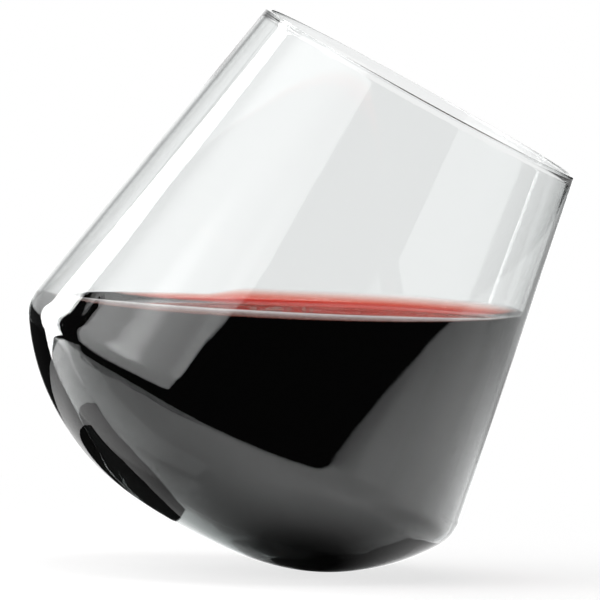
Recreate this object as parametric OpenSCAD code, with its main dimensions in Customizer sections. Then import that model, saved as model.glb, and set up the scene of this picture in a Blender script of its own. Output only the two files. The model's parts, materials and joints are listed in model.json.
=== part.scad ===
// Stemless wine glass with a round base, caught as it rocks, and the red wine in it.
// Sizes are in millimetres and angles in degrees. +Z is up, the table is the plane z = 0, and
// the origin is on the table under the middle of the glass. The glass leans towards +X.

/* [Glass] */
// Outer diameter at the shoulder, the widest place
body_d = 100; // [88:0.5:120]
// Outer diameter of the lip
rim_d = 72.8; // [58:0.2:88]
// Height from the foot to the top of the lip, along the axis of the glass
glass_h = 101.6; // [80:0.2:125]
// Height of the widest place above the foot, along the axis
shoulder_h = 26.2; // [20:0.2:32]
// Radius that rounds the shoulder
shoulder_r = 7.3; // [4:0.1:9]
// Diameter of the flat foot ground under the round base
foot_d = 20; // [12:0.5:28]
// Angle at which the round base rises from the edge of the foot
foot_rise = 2; // [1:0.5:5]
// Thickness of the side wall
wall = 1.15; // [0.9:0.05:2]
// How much thicker the melted, round lip is than the side wall
lip_bead = 0.15; // [0.05:0.05:0.4]
// Thickness of the glass over the foot
base_t = 2.6; // [1.5:0.1:5]
// Diameter of the flat middle of the inside floor
floor_d = 18; // [10:0.5:26]

/* [Lean] */
// Angle between the axis of the glass and the vertical
lean = 27; // [0:0.5:32]

/* [Wine] */
// Height of the level surface of the wine above the table
wine_h = 52.5; // [38:0.5:62]
// Clearance between the wine and the glass, which keeps the two solids apart
wine_gap = 0.05; // [0.02:0.01:0.2]

/* [Hidden] */
$fn = 180;

// How far a cutter runs past what it cuts
overrun = 2;
// How deep one curve dips under the next where the two run together, so that they cross cleanly
dip = 0.001;

// Centres of the shoulder's and the lip's rounding, as [distance from the axis, height]
lip_r = (wall + lip_bead) / 2;
shoulder_c = [body_d / 2 - shoulder_r, shoulder_h];
lip_c = [rim_d / 2 - lip_r, glass_h - lip_r];

// The outer face of the side is a straight line that touches the shoulder's rounding and passes
// half a wall outside the lip's centre
lip_v = lip_c - shoulder_c;
taper = atan(-lip_v.x / lip_v.y) + asin((shoulder_r - wall / 2) / norm(lip_v));
side_out = [cos(taper), sin(taper)];
side_up = [-sin(taper), cos(taper)];

// Radius of the arc that starts at an edge, with its centre on that edge's inward normal, and runs
// smoothly into a circle of radius round_r about the shoulder's centre
function base_r(edge, inward, round_r) =
    let (v = shoulder_c - edge)
    (v * v - round_r * round_r) / (2 * (v * inward - round_r));

// The base of the bowl curves up from its foot about this centre
foot_edge = [foot_d / 2, 0];
foot_in = [-sin(foot_rise), cos(foot_rise)];
rock_r = base_r(foot_edge, foot_in, shoulder_r);
rock_c = foot_edge + rock_r * foot_in;

// Where a point of the outline comes to as the glass leans about the middle of its foot
function leant(p) = [
    p.x * cos(lean) + p.y * sin(lean),
    p.y * cos(lean) - p.x * sin(lean)
];

// The point of the outline that touches the table: on the round base, or on the foot's edge while
// the glass leans less than the base rises there
contact = lean > foot_rise ? rock_c + rock_r * [sin(lean), -cos(lean)] : foot_edge;

// How far the leaning glass reaches each way along the table
shoulder_far = leant([-shoulder_c.x, shoulder_c.y]).x - shoulder_r;
shoulder_near = leant(shoulder_c).x + shoulder_r;
lip_near = leant(lip_c).x + lip_r;
middle = (shoulder_far + max(shoulder_near, lip_near)) / 2;

// A box this far each way holds the whole glass, however it leans
reach = glass_h + body_d;

// Half of the outline of the bowl, moved in by inset from its outer face. Its floor is flat out
// to floor_r at floor_z, and its side runs on past the lip's centre by above.
module outline(inset, floor_z, floor_r, above) {
    round_r = shoulder_r - inset;
    edge = [floor_r, floor_z];
    arc_r = base_r(edge, foot_in, round_r - dip);
    arc_c = edge + arc_r * foot_in;
    to_shoulder = (shoulder_c - arc_c) / norm(shoulder_c - arc_c);
    arc_end = arc_c + (arc_r + overrun) * to_shoulder;
    top = lip_c + (wall / 2 - inset) * side_out + above * side_up;
    top_in = top - wall * side_out;
    intersection() {
        translate(arc_c) circle(r = arc_r);
        polygon([[0, floor_z], [arc_end.x, floor_z], arc_end, shoulder_c, [0, shoulder_c.y]]);
    }
    translate(shoulder_c) circle(r = round_r);
    polygon([
        [0, floor_z],
        [arc_c.x, floor_z],
        shoulder_c,
        shoulder_c + (round_r - dip) * side_out,
        top,
        top_in,
        [0, top_in.y]
    ]);
}

// Leans the glass and sets it on the table
module leaned() {
    translate([-middle, 0, -leant(contact).y]) rotate([0, lean, 0]) children();
}

// The blown glass: one wall from the foot to the lip
module glass_bowl() {
    color([0.86, 0.90, 0.90, 0.35])
        leaned() rotate_extrude() {
            difference() {
                outline(0, 0, foot_d / 2, 0);
                outline(wall, base_t, floor_d / 2, overrun);
            }
            translate(lip_c) circle(r = lip_r);
        }
}

// The wine: what the inside of the leaning bowl holds below its level surface
module red_wine() {
    color([0.10, 0.01, 0.02])
        intersection() {
            leaned() rotate_extrude()
                outline(wall + wine_gap, base_t + wine_gap, floor_d / 2, 0);
            translate([-reach, -reach, wine_h - reach]) cube([2 * reach, 2 * reach, reach]);
        }
}

glass_bowl();
red_wine();
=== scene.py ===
"""Stemless wine glass leaning on its round base, with red wine standing level in it.

Metres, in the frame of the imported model: +Z is up, the table is z = 0, the glass leans towards +X
and the camera looks along +Y. Lengths that repeat the CAD source have the same names here.
"""

import json
import math
import random
from collections import namedtuple

import bpy
import numpy as np
from mathutils import Matrix, Vector


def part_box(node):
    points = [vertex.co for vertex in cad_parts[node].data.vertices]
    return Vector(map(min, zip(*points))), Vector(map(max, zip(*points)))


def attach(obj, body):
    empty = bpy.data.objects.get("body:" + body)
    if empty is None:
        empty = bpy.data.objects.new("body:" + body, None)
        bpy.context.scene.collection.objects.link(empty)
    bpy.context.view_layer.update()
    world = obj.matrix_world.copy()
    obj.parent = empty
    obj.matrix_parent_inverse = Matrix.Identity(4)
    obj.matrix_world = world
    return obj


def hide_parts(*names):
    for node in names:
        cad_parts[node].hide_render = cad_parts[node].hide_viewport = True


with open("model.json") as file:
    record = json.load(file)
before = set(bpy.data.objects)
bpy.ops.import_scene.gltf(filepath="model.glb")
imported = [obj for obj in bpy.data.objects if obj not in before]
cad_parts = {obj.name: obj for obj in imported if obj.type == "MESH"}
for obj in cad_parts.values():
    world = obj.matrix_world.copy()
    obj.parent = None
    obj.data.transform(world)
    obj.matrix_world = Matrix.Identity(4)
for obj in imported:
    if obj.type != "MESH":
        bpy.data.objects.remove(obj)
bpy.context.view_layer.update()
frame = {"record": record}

MM = 0.001

# The glass, as in the CAD source
BODY_D = 100 * MM
RIM_D = 72.8 * MM
GLASS_H = 101.6 * MM
SHOULDER_H = 26.2 * MM
SHOULDER_R = 7.3 * MM
FOOT_D = 20 * MM
FOOT_RISE = math.radians(2)
WALL = 1.15 * MM
LIP_BEAD = 0.15 * MM
BASE_T = 2.6 * MM
FLOOR_D = 18 * MM

# Where the middle of the foot is, and the directions along the axis and square to it
foot = frame["record"]["mounts"][0]
FOOT_AT = np.array(foot["pos_m"], float)
AXIS = -np.array(foot["axis"], float)
ACROSS = np.array([AXIS[2], 0, -AXIS[0]])
BEHIND = np.array([0.0, 1, 0])

# The wine. Its open surface lies below the flat top of the CAD wine, as some of it climbs the wall
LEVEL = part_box("red_wine")[1].z - 0.3 * MM
# Gap between the wine and the wall, too thin to see
WET_GAP = 0.02 * MM
# Capillary length, and the surface's angle to the wall where it wets it and where it has drawn back
CAPILLARY = 2.25 * MM
CONTACT_ANGLE = math.radians(8)
PINNED_ANGLE = math.radians(52)
# Where the wine has drawn back: from the first Y to the second, and from the second X to the first
PINNED_Y = (-5 * MM, 8 * MM)
PINNED_X = (-20 * MM, -10 * MM)
# How much taller the wine stands at the far wall, and where that grows, along Y and again along X
RUN_UP = 0.12
RUN_UP_Y = (-5 * MM, 20 * MM)
RUN_UP_X = (0, 30 * MM)
# Slow waves in the surface: height, length and phase along X and Y, and how near the wall they fade
SWELL_HEIGHT = 0.06 * MM
SWELL_LENGTH = (17 * MM, 23 * MM)
SWELL_PHASE = (0.7, -0.4)
SWELL_FADE = 6 * MM

# The raft of bubbles on the wine: its middle, its spread and how many bubbles are tried
RAFT_AT = (-6 * MM, 29 * MM)
RAFT_SPREAD = (2.6 * MM, 2.2 * MM)
RAFT_BUBBLES = 30
RAFT_SEED = 11
# A bubble's least and largest radius in mm. Its half height and how far its middle is above the
# surface are shares of the radius
BUBBLE_RADII = (0.14, 0.45)
BUBBLE_HALF_HEIGHT = 0.8
BUBBLE_LIFT = 0.45

# Mesh density: steps round the axis, and steps along each stretch of the outline
TURNS = 256
FLOOR_STEPS = 12
BASE_STEPS = 60
SHOULDER_STEPS = 44
SIDE_STEPS = 50
LIP_STEPS = 18
# Steps along the inside of the glass, up the wine's side, and across its surface
HOLLOW_STEPS = 132
WET_STEPS = 72
SURFACE_STEPS = 30
# Power that sets the steps across the surface a little closer towards its middle
SURFACE_CROWDING = 0.9
# The meniscus in shares of its height: even steps down to the first, then finer ones to the second
MENISCUS_TAIL = (0.2, 0.003)
MENISCUS_STEPS = (30, 26)
# Steps of a bubble from its bottom to its top, and round it
BUBBLE_ROWS = 8
BUBBLE_SIDES = 14
# Outline points closer than this are one point
SAME_POINT = 1e-7
# Rounds in which the height of the wine's edge and its place on the wall are fitted to each other
CONTACT_ROUNDS = 4

# The camera: distance, height, roll, the point it looks at, and the width it sees at that distance
CAMERA_DISTANCE = 4.0
CAMERA_HEIGHT = 0.255
CAMERA_ROLL = math.radians(1.87)
AIM = Vector((0.0002, 0, 0.0559))
VIEW_WIDTH = 0.12376
SENSOR_MM = 36
CLIP = (0.5, 100)


def arc(centre, radius, start, end, steps):
    """Points of an arc and their normals away from its centre. Angles are from straight down."""
    a = np.linspace(start, end, steps)
    out = np.stack([np.sin(a), -np.cos(a)], 1)
    return centre + radius * out, out


def line(start, end, normal, steps):
    """Points of a straight line, each with the same normal."""
    t = np.linspace(0, 1, steps)[:, None]
    return start + (end - start) * t, np.repeat(normal[None], steps, 0)


def join(stretches):
    """Points and normals of several stretches in one, without points that repeat."""
    points = np.concatenate([p for p, _ in stretches])
    normals = np.concatenate([n for _, n in stretches])
    keep = np.r_[True, np.linalg.norm(np.diff(points, axis=0), axis=1) > SAME_POINT]
    return points[keep], normals[keep]


# The outline's centres and directions, as (distance from the axis, height), as in the CAD source
LIP_R = (WALL + LIP_BEAD) / 2
SHOULDER_C = np.array([BODY_D / 2 - SHOULDER_R, SHOULDER_H])
LIP_C = np.array([RIM_D / 2 - LIP_R, GLASS_H - LIP_R])
LIP_V = LIP_C - SHOULDER_C
LIP_TILT = math.atan2(-LIP_V[0], LIP_V[1])
TAPER = LIP_TILT + math.asin((SHOULDER_R - WALL / 2) / np.linalg.norm(LIP_V))
SIDE_OUT = np.array([math.cos(TAPER), math.sin(TAPER)])
FOOT_IN = np.array([-math.sin(FOOT_RISE), math.cos(FOOT_RISE)])
# Angle from straight down at which the side stands out
SIDE_TURN = math.pi / 2 + TAPER


def skin(inset, floor_z, floor_r):
    """Outline from the axis to the lip, moved in by inset: flat floor, base arc, shoulder, side."""
    round_r = SHOULDER_R - inset
    edge = np.array([floor_r, floor_z])
    v = SHOULDER_C - edge
    base_r = (v @ v - round_r**2) / (2 * (v @ FOOT_IN - round_r))
    base_c = edge + base_r * FOOT_IN
    turn = math.atan2(*((SHOULDER_C - base_c) * (1, -1)))
    top = LIP_C + (WALL / 2 - inset) * SIDE_OUT
    return join([
        line(np.array([0, floor_z]), edge, np.array([0, -1.0]), FLOOR_STEPS),
        arc(base_c, base_r, FOOT_RISE, turn, BASE_STEPS),
        arc(SHOULDER_C, round_r, turn, SIDE_TURN, SHOULDER_STEPS),
        line(SHOULDER_C + round_r * SIDE_OUT, top, SIDE_OUT, SIDE_STEPS),
    ])


# The outlines, the length along the inner one at each of its points, and the turns about the axis
OUTER, _ = skin(0, 0, FOOT_D / 2)
INNER, INNER_NORMALS = skin(WALL, BASE_T, FLOOR_D / 2)
LIP, _ = arc(LIP_C, LIP_R, SIDE_TURN, SIDE_TURN + math.pi, LIP_STEPS)
INNER_LENGTHS = np.r_[0, np.cumsum(np.linalg.norm(np.diff(INNER, axis=0), axis=1))]
TURN_ANGLES = np.linspace(0, 2 * math.pi, TURNS, endpoint=False)


def inside(s):
    """Point and normal of the inner outline at the length s from the axis."""
    point, normal = (np.stack([np.interp(s, INNER_LENGTHS, column) for column in values.T], -1)
                     for values in (INNER, INNER_NORMALS))
    return point, normal


def to_frame(normals, turn):
    """Outline normals at a turn about the axis, in the frame."""
    r, h = normals[..., 0:1], normals[..., 1:2]
    return AXIS * h + (ACROSS * math.cos(turn) + BEHIND * math.sin(turn)) * r


def place(points, turn):
    """Outline points at a turn about the axis of the glass, in the frame."""
    return FOOT_AT + to_frame(points, turn)


def smooth(low, high, x):
    """0 below low, 1 above high, and a smooth rise between them."""
    t = np.clip((x - low) / (high - low), 0, 1)
    return t * t * (3 - 2 * t)


def stretch(p):
    """How much higher than at rest the wine stands at the wall: it has just run up the far side."""
    return 1 + RUN_UP * smooth(*RUN_UP_Y, p[1]) * (1 + smooth(*RUN_UP_X, p[0]))


def rise(s, turn):
    """How high the wine climbs at a point of the wall: it wets the glass all round, but at the far
    left it has drawn back, and its edge hangs on lower."""
    wall, normal = inside(s)
    p = place(wall, turn)
    lean = math.pi / 2 + math.asin(to_frame(normal, turn)[2])
    pinned = smooth(*PINNED_Y, p[1]) * (1 - smooth(*PINNED_X, p[0]))
    angle = CONTACT_ANGLE + (PINNED_ANGLE - CONTACT_ANGLE) * pinned
    return stretch(p) * CAPILLARY * math.sqrt(2 * (1 - math.cos(lean - angle)))


def contact_length(turn):
    """Length along the inner outline where the wine's edge stands at this turn."""
    heights = place(INNER, turn)[:, 2]
    s = INNER_LENGTHS[np.nonzero(heights < LEVEL)[0][-1]]
    for _ in range(CONTACT_ROUNDS):
        edge = LEVEL + rise(s, turn)
        k = np.nonzero(heights < edge)[0][-1]
        t = (edge - heights[k]) / (heights[k + 1] - heights[k])
        s = INNER_LENGTHS[k] + t * (INNER_LENGTHS[k + 1] - INNER_LENGTHS[k])
    return s


def rings_form(rings, closed_start, closed_end, first=0):
    """Points and faces of a closed form of rings of equal length; the ends are single points.
    The faces count their points from first."""
    count = len(rings[0])
    verts = [closed_start] + [p for ring in rings for p in ring] + [closed_end]
    faces = [(0, 1 + (k + 1) % count, 1 + k) for k in range(count)]
    for row in range(len(rings) - 1):
        a, b = 1 + row * count, 1 + (row + 1) * count
        for k in range(count):
            n = (k + 1) % count
            faces.append((a + k, a + n, b + n, b + k))
    a, last = 1 + (len(rings) - 1) * count, len(verts) - 1
    faces += [(a + k, a + (k + 1) % count, last) for k in range(count)]
    return [tuple(v) for v in verts], [tuple(first + k for k in face) for face in faces]


def smooth_piece(name, verts, faces, made):
    """A smooth-shaded mesh object of one material."""
    mesh = bpy.data.meshes.new(name)
    mesh.from_pydata(verts, [], faces)
    mesh.update()
    mesh.polygons.foreach_set("use_smooth", [True] * len(faces))
    mesh.materials.append(made)
    piece = bpy.data.objects.new(name, mesh)
    bpy.context.scene.collection.objects.link(piece)
    return piece


def by_ring(columns):
    """Turns a list of point columns, one for each turn, into a list of rings."""
    return [list(ring) for ring in np.stack(columns, 1)]


def build_glass():
    """The glass: its outside, its lip and its inside, turned about the axis."""
    hollow, _ = inside(np.linspace(INNER_LENGTHS[-1], 0, HOLLOW_STEPS, endpoint=False))
    outline = np.concatenate([OUTER[1:], LIP[1:-1], hollow])
    columns = [place(outline, turn) for turn in TURN_ANGLES]
    verts, faces = rings_form(by_ring(columns), place(OUTER[0], 0), place(INNER[0], 0))
    return smooth_piece("glass", verts, faces, clear_glass())


def meniscus(top):
    """Distances from the edge, and heights, of a liquid that climbs to the height top at a wall."""
    tail, end = MENISCUS_TAIL
    even, finer = MENISCUS_STEPS
    h = top * np.r_[np.linspace(1, tail, even), np.geomspace(tail, end, finer)[1:]]
    x = CAPILLARY * (np.arccosh(2 * CAPILLARY / h) - np.sqrt(4 - (h / CAPILLARY) ** 2))
    return x - x[0], h


def swell(p):
    """Height of the slow waves that are left in the surface as the glass rocks."""
    a, b = (p[..., k] / SWELL_LENGTH[k] + SWELL_PHASE[k] for k in (0, 1))
    return SWELL_HEIGHT * np.sin(a) * np.cos(b)


def build_wine():
    """The wine: its side just inside the wall, its meniscus and its open surface."""
    inward = np.linspace(0, 1, SURFACE_STEPS)[1:-1] ** SURFACE_CROWDING
    low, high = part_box("red_wine")
    centre = np.array([(low.x + high.x) / 2, 0])
    columns = []
    for turn in TURN_ANGLES:
        contact = contact_length(turn)
        wall, normal = inside(contact * np.linspace(0, 1, WET_STEPS + 1)[1:])
        side = place(wall - WET_GAP * normal, turn)
        edge = side[-1]
        off = -to_frame(normal[-1], turn)[:2]
        off = off / np.linalg.norm(off)
        tall = stretch(edge)
        apart, height = meniscus(rise(contact, turn) / tall)
        height = height * tall
        curve = edge[:2] + off * apart[1:, None]
        flat = np.concatenate([curve, curve[-1] + (centre - curve[-1]) * inward[:, None]])
        lift = np.r_[height[1:], height[-1] * (1 - inward)]
        lift += swell(flat) * smooth(0, SWELL_FADE, np.linalg.norm(flat - edge[:2], axis=1))
        columns.append(np.concatenate([side, np.c_[flat, LEVEL + lift]]))
    start = place(INNER[0] + np.array([0, WET_GAP]), 0)
    middle = np.r_[centre, LEVEL + swell(centre)]
    wine = smooth_piece("wine", *rings_form(by_ring(columns), start, middle), red_wine())
    rim = range(1 + (WET_STEPS - 1) * TURNS, 1 + WET_STEPS * TURNS)
    sharp = wine.data.attributes.new("sharp_edge", "BOOLEAN", "EDGE")
    on_rim = [all(v in rim for v in mesh_edge.vertices) for mesh_edge in wine.data.edges]
    sharp.data.foreach_set("value", on_rim)
    return wine


def build_bubbles():
    """A loose raft of small bubbles, which has drifted to the far side of the wine."""
    draw = random.Random(RAFT_SEED)
    angles = np.linspace(0, 2 * math.pi, BUBBLE_SIDES, endpoint=False)
    ring = np.stack([np.cos(angles), np.sin(angles), np.zeros(BUBBLE_SIDES)], 1)
    rows = np.linspace(0, math.pi, BUBBLE_ROWS + 2)[1:-1]
    verts, faces, kept = [], [], []
    for _ in range(RAFT_BUBBLES):
        x, y = (RAFT_AT[k] + draw.gauss(0, RAFT_SPREAD[k]) for k in (0, 1))
        radius = draw.uniform(*BUBBLE_RADII) * MM
        if any(math.hypot(x - a, y - b) < radius + r for a, b, r in kept):
            continue
        kept.append((x, y, radius))
        surface = LEVEL + swell(np.array([x, y]))
        middle = np.array([x, y, surface + BUBBLE_LIFT * radius])
        up = np.array([0, 0, BUBBLE_HALF_HEIGHT * radius])
        rings = [middle - math.cos(a) * up + math.sin(a) * radius * ring for a in rows]
        points, sides = rings_form(rings, middle - up, middle + up, len(verts))
        verts += points
        faces += sides
    return smooth_piece("bubbles", verts, faces, wine_foam())


def add_node(tree, kind, inputs=None, **settings):
    """Adds a node with these settings. Each input is given its value, or linked where that is an
    output of another node."""
    node = tree.nodes.new(kind)
    for name, value in settings.items():
        setattr(node, name, value)
    for name, value in (inputs or {}).items():
        if isinstance(value, bpy.types.NodeSocket):
            tree.links.new(value, node.inputs[name])
        else:
            node.inputs[name].default_value = value
    return node


def maths(tree, operation, *values):
    """The output of a Math node on these values or outputs."""
    node = add_node(tree, "ShaderNodeMath", dict(enumerate(values)), operation=operation)
    return node.outputs[0]


def mixed(tree, share, first, second):
    """The first shader where share is 0, and the second where it is 1."""
    return add_node(tree, "ShaderNodeMixShader", {"Fac": share, 1: first, 2: second}).outputs[0]


def ramp(tree, value, low, high, at_low, at_high):
    """A value that runs smoothly from at_low to at_high as the given one runs from low to high."""
    inputs = {"Value": value, "From Min": low, "From Max": high,
              "To Min": at_low, "To Max": at_high}
    node = add_node(tree, "ShaderNodeMapRange", inputs, interpolation_type="SMOOTHSTEP")
    return node.outputs[0]


def new_material(name):
    """An empty material and its node tree."""
    made = bpy.data.materials.new(name)
    made.use_nodes = True
    made.node_tree.nodes.clear()
    return made, made.node_tree


def grey(value):
    """An even colour."""
    return (value, value, value, 1)


WHITE = grey(1)
BLACK = grey(0.01)
# Detail of the noise that makes waves
WAVE_DETAIL = 1.5
# A ray whose glossy depth is below this was never mirrored
FIRST_MIRROR = 0.5


def waves(tree, scale, height, turn=0):
    """Normal of slow waves in the face of a clear material: noise with this many waves a metre
    along X, Y and Z, after a turn about Y."""
    where = add_node(tree, "ShaderNodeTexCoord").outputs["Object"]
    along = add_node(tree, "ShaderNodeMapping",
                     {"Vector": where, "Rotation": (0, turn, 0), "Scale": scale}).outputs[0]
    noise = add_node(tree, "ShaderNodeTexNoise",
                     {"Vector": along, "Scale": 1, "Detail": WAVE_DETAIL})
    bump = add_node(tree, "ShaderNodeBump",
                    {"Height": noise.outputs[0], "Strength": 1, "Distance": height})
    return bump.outputs["Normal"]


def clear_shader(tree, normal, ior, colour=WHITE, transmission=1, roughness=0):
    """A clear surface with the given waves."""
    inputs = {"Base Color": colour, "Roughness": roughness, "IOR": ior,
              "Transmission Weight": transmission, "Normal": normal}
    return add_node(tree, "ShaderNodeBsdfPrincipled", inputs).outputs[0]


def light_passes(tree, surface, share):
    """Lets this share of light through as shadow rays see it, so that the shadow stays pale."""
    path = add_node(tree, "ShaderNodeLightPath")
    clear = add_node(tree, "ShaderNodeBsdfTransparent", {"Color": grey(share)})
    return mixed(tree, path.outputs["Is Shadow Ray"], surface, clear.outputs[0])


def clear_liquid(name, ior, colour, density, shadow_share, scale, height, turn=0):
    """A clear material that darkens with depth: of each colour it absorbs density times
    (1 - colour) a metre."""
    made, tree = new_material(name)
    surface = clear_shader(tree, waves(tree, scale, height, turn), ior)
    volume = add_node(tree, "ShaderNodeVolumeAbsorption",
                      {"Color": (*colour, 1), "Density": density})
    add_node(tree, "ShaderNodeOutputMaterial",
             {"Surface": light_passes(tree, surface, shadow_share), "Volume": volume.outputs[0]})
    return made


def clear_glass():
    """Blown glass: faintly green where it is deep, with waves drawn out along its axis."""
    return clear_liquid("clear_glass", ior=1.5, colour=(0.20, 0.34, 0.32), density=62,
                        shadow_share=0.95, scale=(60, 60, 14), height=0.07 * MM,
                        turn=-math.asin(AXIS[0]))


def red_wine():
    """Wine: ruby where it is thin, black where it is deep."""
    return clear_liquid("red_wine", ior=1.345, colour=(0.91, 0.18, 0.03), density=1500,
                        shadow_share=0.97, scale=(70, 70, 70), height=0.04 * MM)


def wine_foam():
    """Half clear, half scattering, as a thin-skinned bubble is."""
    made, tree = new_material("wine_foam")
    normal = waves(tree, scale=(900, 900, 900), height=0.01 * MM)
    surface = clear_shader(tree, normal, ior=1.25, colour=(0.95, 0.66, 0.6, 1),
                           transmission=0.75, roughness=0.05)
    add_node(tree, "ShaderNodeOutputMaterial", {"Surface": surface})
    return made


def seen_plainly(tree):
    """1 for rays that come straight from the camera, or only through the glass, and 0 for mirrored
    ones."""
    path = add_node(tree, "ShaderNodeLightPath")
    unmirrored = maths(tree, "LESS_THAN", path.outputs["Glossy Depth"], FIRST_MIRROR)
    through = maths(tree, "MULTIPLY", path.outputs["Is Transmission Ray"], unmirrored)
    return maths(tree, "MAXIMUM", path.outputs["Is Camera Ray"], through)


def only_for(tree, surface, mirrored):
    """Shows a part of the studio to mirrored rays alone, or to the other rays alone."""
    clear = add_node(tree, "ShaderNodeBsdfTransparent").outputs[0]
    first, second = (surface, clear) if mirrored else (clear, surface)
    shown = mixed(tree, seen_plainly(tree), first, second)
    add_node(tree, "ShaderNodeOutputMaterial", {"Surface": shown})


# A value that runs from at_near to at_far between two distances from a centre
Fade = namedtuple("Fade", "centre near far at_near at_far")


def by_distance(tree, fade):
    """The value of a fade."""
    where = add_node(tree, "ShaderNodeTexCoord").outputs["Object"]
    apart = add_node(tree, "ShaderNodeVectorMath", {0: where, 1: fade.centre}, operation="DISTANCE")
    return ramp(tree, apart.outputs["Value"], *fade[1:])


def all_fades(tree, operation, fades):
    """The values of several fades, added or multiplied."""
    total = by_distance(tree, fades[0])
    for fade in fades[1:]:
        total = maths(tree, operation, total, by_distance(tree, fade))
    return total


def emitter(name, fades):
    """A sheet that shines from its front only. Its radiance is the sum of the fades."""
    made, tree = new_material(name)
    glow = add_node(tree, "ShaderNodeEmission",
                    {"Color": WHITE, "Strength": all_fades(tree, "ADD", fades)})
    back = add_node(tree, "ShaderNodeBsdfDiffuse", {"Color": BLACK})
    face = add_node(tree, "ShaderNodeNewGeometry")
    shown = mixed(tree, face.outputs["Backfacing"], glow.outputs[0], back.outputs[0])
    only_for(tree, shown, mirrored=True)
    return made


def stage_sheet(name, corners, made, lights=False):
    """A flat part of the studio, which isn't part of the object and casts no shadow. It lights matt
    surfaces only if lights is true."""
    mesh = bpy.data.meshes.new(name)
    mesh.from_pydata(corners, [], [tuple(range(len(corners)))])
    mesh.materials.append(made)
    sheet = bpy.data.objects.new(name, mesh)
    sheet.visible_shadow = False
    sheet.visible_diffuse = lights
    bpy.context.scene.collection.objects.link(sheet)


def softbox(name, left, right, outline, fades):
    """An upright glowing sheet over the line on the floor from left to right, as the glass sees it.
    The outline's points are the share of the way along that line, and the height."""
    left, right = np.array(left), np.array(right)
    corners = [(*(left + (right - left) * along), height) for along, height in reversed(outline)]
    stage_sheet(name, corners, emitter(name, fades), lights=True)


def lamp(name, width, height, radiance):
    """A rectangular lamp that isn't seen plainly, only mirrored or by what it lights."""
    data = bpy.data.lights.new(name, "AREA")
    data.shape = "RECTANGLE"
    data.size, data.size_y = width, height
    data.energy = radiance * math.pi * width * height
    data.use_nodes = True
    tree = data.node_tree
    unseen = maths(tree, "SUBTRACT", 1, seen_plainly(tree))
    tree.links.new(unseen, tree.nodes["Emission"].inputs["Strength"])
    made = bpy.data.objects.new(name, data)
    made.visible_camera = False
    bpy.context.scene.collection.objects.link(made)
    return made


def upright_lamp(name, left, right, low, high, radiance):
    """A lamp that stands over the line on the floor from left to right, as the glass sees it."""
    left, right = Vector((*left, 0)), Vector((*right, 0))
    along = right - left
    made = lamp(name, along.length, high - low, radiance)
    made.location = (left + right) / 2 + Vector((0, 0, (low + high) / 2))
    made.rotation_euler = Vector((along.y, -along.x, 0)).to_track_quat("Z", "Y").to_euler()


# The tall window at the left. Its foot is by the floor in the middle, and rises in steps towards
# its near end and in a slope towards the far one
WINDOW_OUTLINE = [
    (0, 0.1), (0.1, 0.03), (0.25, 0.001), (0.6, 0.001), (0.67, 0.04), (0.78, 0.26),
    (0.84, 0.43), (0.89, 0.458), (1.02, 0.476), (1.03, 0.483), (1.02, 0.496), (0.99, 0.538),
    (0.95, 0.6), (0.9, 4), (-1.6, 4), (-1.6, 1.2), (-1, 0.93), (-0.7, 0.8),
    (-0.43, 0.72), (-0.3, 0.683), (-0.18, 0.643), (-0.1, 0.624), (-0.02, 0.6),
]
WINDOW_FADES = [
    Fade((-0.575, -0.177, 0.58), 0.15, 0.55, 2.05, 1.38),
    Fade((-0.53, -0.26, 0.40), 0.07, 0.17, 1.6, 0),
    Fade((-0.328, -0.618, 0.45), 0.02, 0.10, 0.5, 0),
    Fade((-0.95, 0.5, 0.8), 0.2, 0.5, -0.5, 0),
]
# The two sheets behind the glass
BACK_OUTLINE = [(0, 0.1), (1, 0.1), (1, 1.2), (0, 1.2)]
BACK_WINDOW_FADE = Fade((-0.08, 0.95, 0.15), 0.14, 0.33, 1.1, 0.42)
BACK_GLOW_FADE = Fade((-0.62, 0.62, 0.5), 0.02, 0.38, 1.15, 0.6)
# The lamp over the glass
OVERHEAD_SIDE = 0.8
OVERHEAD_AT = (0.1, 0.1, 1.4)

# The board's outline, and its painted glow: painted shade under the glass, at its right and at its
# left, and a painted fall-off of light over the board
BOARD_OUTLINE = [
    (-0.5, 0.1), (-0.18, 0.027), (-0.118, -0.037), (-0.087, -0.053), (-0.046, -0.063),
    (-0.018, -0.071), (0.03, -0.08), (0.245, -0.235), (0.25, -0.26), (0.252, -0.05),
    (0.25, 0.6), (0.05, 0.6), (-0.03, 0.14), (-0.5, 0.11),
]
BOARD_PAINTED_GLOW_AND_SHADE = [
    Fade((0.001, -0.014, 0), 0.008, 0.036, 0, 1),
    Fade((0.030, -0.012, 0), 0.012, 0.034, 0.6, 1),
    Fade((-0.095, -0.01, 0), 0.03, 0.10, 0.55, 1),
    Fade((-0.028, -0.018, 0), 0.008, 0.036, 0.35, 1),
    Fade((0.02, -0.05, 0), 0.1, 0.3, 0.8, 0.3),
]
# The dark card on the board, behind the glass at the left, and its height above the board
CARD_OUTLINE = [
    (-0.079, 0.047), (-0.082, 0.03), (-0.081, 0.016), (-0.070, 0.009), (-0.062, 0.003),
    (-0.055, -0.0025), (-0.044, -0.006), (-0.035, -0.0055), (-0.028, -0.002), (-0.028, 0.08),
    (-0.060, 0.075), (-0.072, 0.065),
]
CARD_Z = 0.4 * MM

# The floor: radius, depth below the board, sides, and its colour and own light about the glass
FLOOR_R = 3
FLOOR_Z = -0.2 * MM
FLOOR_SIDES = 64
FLOOR_COLOUR = Fade((0, 0, 0), 0.07, 0.30, 0.25, 0)
FLOOR_LIGHT = Fade((0, 0, 0), 0.07, 0.30, 0.75, 1)

# The backdrop as mirrored rays see it: radiance of the band and of the room about it. The band's
# side edges lie at these values of X of a ray's direction, and its fall-off at these of Y
BAND_RADIANCE = 1.5
ROOM_RADIANCE = 0.015
BAND_X = (0.17, 0.24)
BAND_Y = (0.5, 0.7)


def level_corners(outline, z):
    """The outline's points at the height z."""
    return [(x, y, z) for x, y in outline]


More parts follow.
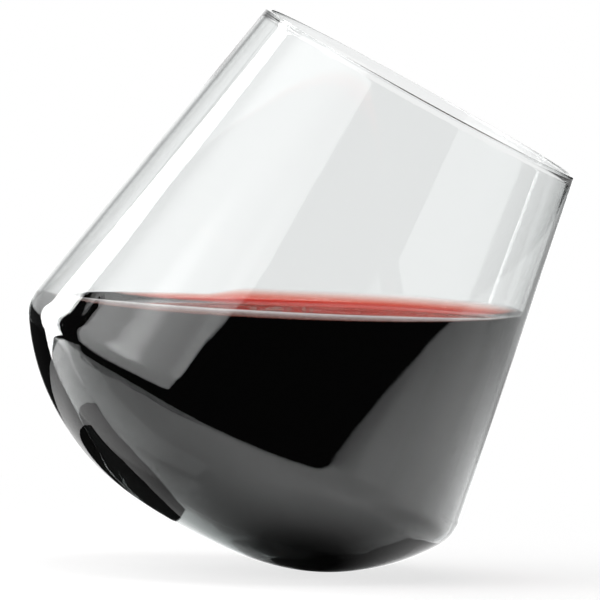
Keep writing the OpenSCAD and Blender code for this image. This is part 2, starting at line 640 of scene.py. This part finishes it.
def build_table():
    """The board under the glass, as the glass mirrors it: a dark glossy sheet whose white is a
    painted glow, with painted shade under the glass, and a dark card on it.
    """
    made, tree = new_material("table")
    # The board's brightness is a painted glow, darkened by painted shade under the glass and
    # towards its far edges
    board = add_node(tree, "ShaderNodeBsdfPrincipled", {
        "Base Color": grey(0.1), "Roughness": 0.06, "Specular IOR Level": 0.25,
        "Emission Color": WHITE, "Emission Strength": all_fades(tree, "MULTIPLY", BOARD_PAINTED_GLOW_AND_SHADE)})
    only_for(tree, board.outputs[0], mirrored=True)
    stage_sheet("table", level_corners(BOARD_OUTLINE, 0), made)
    dark, tree = new_material("dark_card")
    # A plain black sheet on the board, which only mirrored rays see
    black_face = add_node(tree, "ShaderNodeBsdfDiffuse", {"Color": BLACK})
    only_for(tree, black_face.outputs[0], mirrored=True)
    stage_sheet("dark_card", level_corners(CARD_OUTLINE, CARD_Z), dark)


def build_floor():
    """The pale floor that the camera sees, straight or through the glass. It keeps the shadow of
    the glass, and is white further off."""
    made, tree = new_material("floor")
    cloth = add_node(tree, "ShaderNodeBsdfPrincipled", {
        "Base Color": by_distance(tree, FLOOR_COLOUR), "Roughness": 0.6, "Specular IOR Level": 0,
        "Emission Color": WHITE, "Emission Strength": by_distance(tree, FLOOR_LIGHT)})
    only_for(tree, cloth.outputs[0], mirrored=False)
    angles = np.linspace(0, 2 * math.pi, FLOOR_SIDES, endpoint=False)
    edge = [(FLOOR_R * math.cos(a), FLOOR_R * math.sin(a)) for a in angles]
    stage_sheet("floor", level_corners(edge, FLOOR_Z), made)


def build_studio():
    """The lights about the glass and what it stands on."""
    softbox("window", (-0.731, 0.102), (-0.257, -0.745), WINDOW_OUTLINE, WINDOW_FADES)
    upright_lamp("strip", (-0.170, 0.1235), (-0.651, 0.330), low=0, high=1.2, radiance=6)
    upright_lamp("side_window", (0.75, -0.40), (0.75, 0.28), low=0.11, high=0.2, radiance=0.5)
    softbox("back_window", (-0.10, 0.95), (-0.40, 0.86), BACK_OUTLINE, [BACK_WINDOW_FADE])
    softbox("back_glow", (-0.40, 0.86), (-0.62, 0.62), BACK_OUTLINE, [BACK_GLOW_FADE])
    overhead = lamp("overhead", OVERHEAD_SIDE, OVERHEAD_SIDE, radiance=5)
    overhead.location = OVERHEAD_AT
    build_table()
    build_floor()


def build_world():
    """A dark room with a bright band behind the glass, which mirrored rays see. Seen plainly the
    backdrop is white all round."""
    world = bpy.data.worlds.new("studio")
    bpy.context.scene.world = world
    world.use_nodes = True
    tree = world.node_tree
    tree.nodes.clear()
    where = add_node(tree, "ShaderNodeTexCoord").outputs["Generated"]
    direction = add_node(tree, "ShaderNodeSeparateXYZ", {0: where}).outputs
    band = ramp(tree, maths(tree, "ABSOLUTE", direction["X"]), *BAND_X, BAND_RADIANCE, 0)
    behind = ramp(tree, direction["Y"], *BAND_Y, 0, 1)
    room = maths(tree, "MULTIPLY_ADD", band, behind, ROOM_RADIANCE)
    shown = add_node(tree, "ShaderNodeMix", {"Factor": seen_plainly(tree), "A": room, "B": 1})
    sky = add_node(tree, "ShaderNodeBackground", {"Color": WHITE, "Strength": shown.outputs[0]})
    add_node(tree, "ShaderNodeOutputWorld", {"Surface": sky.outputs[0]})


def build_camera():
    """The camera at the photo's angle, far off and with a long lens."""
    data = bpy.data.cameras.new("camera")
    data.sensor_width = SENSOR_MM
    data.lens = SENSOR_MM * CAMERA_DISTANCE / VIEW_WIDTH
    data.clip_start, data.clip_end = CLIP
    camera = bpy.data.objects.new("camera", data)
    back = math.sqrt(CAMERA_DISTANCE**2 - (CAMERA_HEIGHT - AIM.z) ** 2)
    camera.location = (AIM.x, -back, CAMERA_HEIGHT)
    look = (AIM - camera.location).to_track_quat("-Z", "Y").to_matrix().to_4x4()
    camera.rotation_euler = (look @ Matrix.Rotation(CAMERA_ROLL, 4, "Z")).to_euler()
    bpy.context.scene.collection.objects.link(camera)
    bpy.context.scene.camera = camera


build_world()
build_studio()
build_camera()

glass = build_glass()
wine = build_wine()
for piece, node, slot in ((glass, "glass_bowl", "clear_glass"), (wine, "red_wine", "red_wine")):
    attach(piece, "root")
    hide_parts(node)
bubbles = build_bubbles()
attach(bubbles, "root")

bpy.context.scene.view_settings.view_transform = "Standard"
